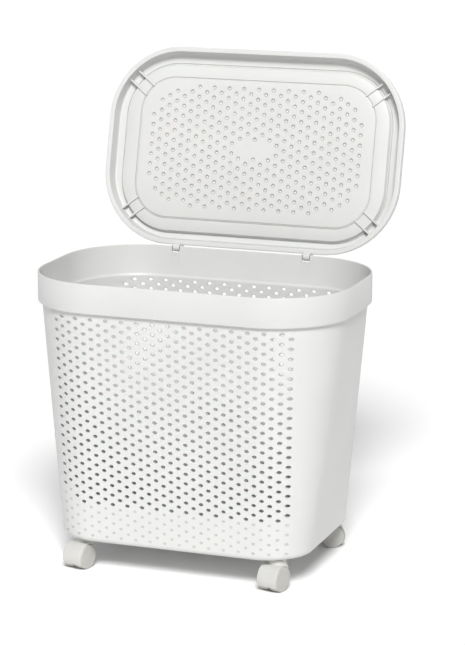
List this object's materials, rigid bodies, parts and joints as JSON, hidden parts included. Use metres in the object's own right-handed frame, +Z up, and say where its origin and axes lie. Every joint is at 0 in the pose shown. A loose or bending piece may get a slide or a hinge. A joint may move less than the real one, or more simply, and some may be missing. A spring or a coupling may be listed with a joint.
{
  "type": "laundry hamper",
  "caption": "Rectangular perforated plastic laundry hamper with a smooth collar, a hinged tray-shaped lid and twin-wheel swivel casters.",
  "frame": {"origin": "on the floor, under the middle of the whole object's box with the lid leaning back on its stop", "axes": "+Z up, +Y to the back where the lid is hinged, +X to the right seen from the front"},
  "size_m": [0.478, 0.4104, 0.7323],
  "materials": {
    "white_plastic": "moulded white polypropylene, satin",
    "caster_plastic": "moulded warm white nylon, satin",
    "steel": "plated, smooth"
  },
  "bodies": {
    "tub": {"tub": "white_plastic", "caster_front_left_socket": "caster_plastic", "caster_front_right_socket": "caster_plastic", "caster_back_right_socket": "caster_plastic", "caster_back_left_socket": "caster_plastic"},
    "lid": {"lid": "white_plastic"},
    "caster_front_left": {"caster_front_left_hood": "caster_plastic", "caster_front_left_stem": "steel", "caster_front_left_grip_ring": "steel", "caster_front_left_axle": "steel"},
    "caster_front_left_wheel_left": {"caster_front_left_wheel_left": "caster_plastic"},
    "caster_front_left_wheel_right": {"caster_front_left_wheel_right": "caster_plastic"},
    "caster_front_right": {"caster_front_right_hood": "caster_plastic", "caster_front_right_stem": "steel", "caster_front_right_grip_ring": "steel", "caster_front_right_axle": "steel"},
    "caster_front_right_wheel_left": {"caster_front_right_wheel_left": "caster_plastic"},
    "caster_front_right_wheel_right": {"caster_front_right_wheel_right": "caster_plastic"},
    "caster_back_right": {"caster_back_right_hood": "caster_plastic", "caster_back_right_stem": "steel", "caster_back_right_grip_ring": "steel", "caster_back_right_axle": "steel"},
    "caster_back_right_wheel_left": {"caster_back_right_wheel_left": "caster_plastic"},
    "caster_back_right_wheel_right": {"caster_back_right_wheel_right": "caster_plastic"},
    "caster_back_left": {"caster_back_left_hood": "caster_plastic", "caster_back_left_stem": "steel", "caster_back_left_grip_ring": "steel", "caster_back_left_axle": "steel"},
    "caster_back_left_wheel_left": {"caster_back_left_wheel_left": "caster_plastic"},
    "caster_back_left_wheel_right": {"caster_back_left_wheel_right": "caster_plastic"}
  },
  "joints": [
    {"name": "lid_hinge", "type": "hinge", "parent": "tub", "child": "lid", "pos_m": [0, 0.106, 0.4335], "axis": [1, 0, 0], "range_deg": [0, 104.5]},
    {"name": "caster_front_left_swivel", "type": "hinge", "parent": "tub", "child": "caster_front_left", "pos_m": [-0.152, -0.1592, 0.046], "axis": [0, 0, 1], "continuous": true},
    {"name": "caster_front_left_wheel_left_spin", "type": "hinge", "parent": "caster_front_left", "child": "caster_front_left_wheel_left", "pos_m": [-0.15442, -0.1689, 0.0185], "axis": [-0.9703, 0.2419, 0], "continuous": true},
    {"name": "caster_front_left_wheel_right_spin", "type": "hinge", "parent": "caster_front_left", "child": "caster_front_left_wheel_right", "pos_m": [-0.15442, -0.1689, 0.0185], "axis": [-0.9703, 0.2419, 0], "continuous": true},
    {"name": "caster_front_right_swivel", "type": "hinge", "parent": "tub", "child": "caster_front_right", "pos_m": [0.152, -0.1592, 0.046], "axis": [0, 0, 1], "continuous": true},
    {"name": "caster_front_right_wheel_left_spin", "type": "hinge", "parent": "caster_front_right", "child": "caster_front_right_wheel_left", "pos_m": [0.14958, -0.1689, 0.0185], "axis": [-0.9703, 0.2419, 0], "continuous": true},
    {"name": "caster_front_right_wheel_right_spin", "type": "hinge", "parent": "caster_front_right", "child": "caster_front_right_wheel_right", "pos_m": [0.14958, -0.1689, 0.0185], "axis": [-0.9703, 0.2419, 0], "continuous": true},
    {"name": "caster_back_right_swivel", "type": "hinge", "parent": "tub", "child": "caster_back_right", "pos_m": [0.152, 0.0568, 0.046], "axis": [0, 0, 1], "continuous": true},
    {"name": "caster_back_right_wheel_left_spin", "type": "hinge", "parent": "caster_back_right", "child": "caster_back_right_wheel_left", "pos_m": [0.16106, 0.06103, 0.0185], "axis": [0.4226, -0.9063, 0], "continuous": true},
    {"name": "caster_back_right_wheel_right_spin", "type": "hinge", "parent": "caster_back_right", "child": "caster_back_right_wheel_right", "pos_m": [0.16106, 0.06103, 0.0185], "axis": [0.4226, -0.9063, 0], "continuous": true},
    {"name": "caster_back_left_swivel", "type": "hinge", "parent": "tub", "child": "caster_back_left", "pos_m": [-0.152, 0.0568, 0.046], "axis": [0, 0, 1], "continuous": true},
    {"name": "caster_back_left_wheel_left_spin", "type": "hinge", "parent": "caster_back_left", "child": "caster_back_left_wheel_left", "pos_m": [-0.14626, 0.04861, 0.0185], "axis": [-0.8192, -0.5736, 0], "continuous": true},
    {"name": "caster_back_left_wheel_right_spin", "type": "hinge", "parent": "caster_back_left", "child": "caster_back_left_wheel_right", "pos_m": [-0.14626, 0.04861, 0.0185], "axis": [-0.8192, -0.5736, 0], "continuous": true}
  ]
}
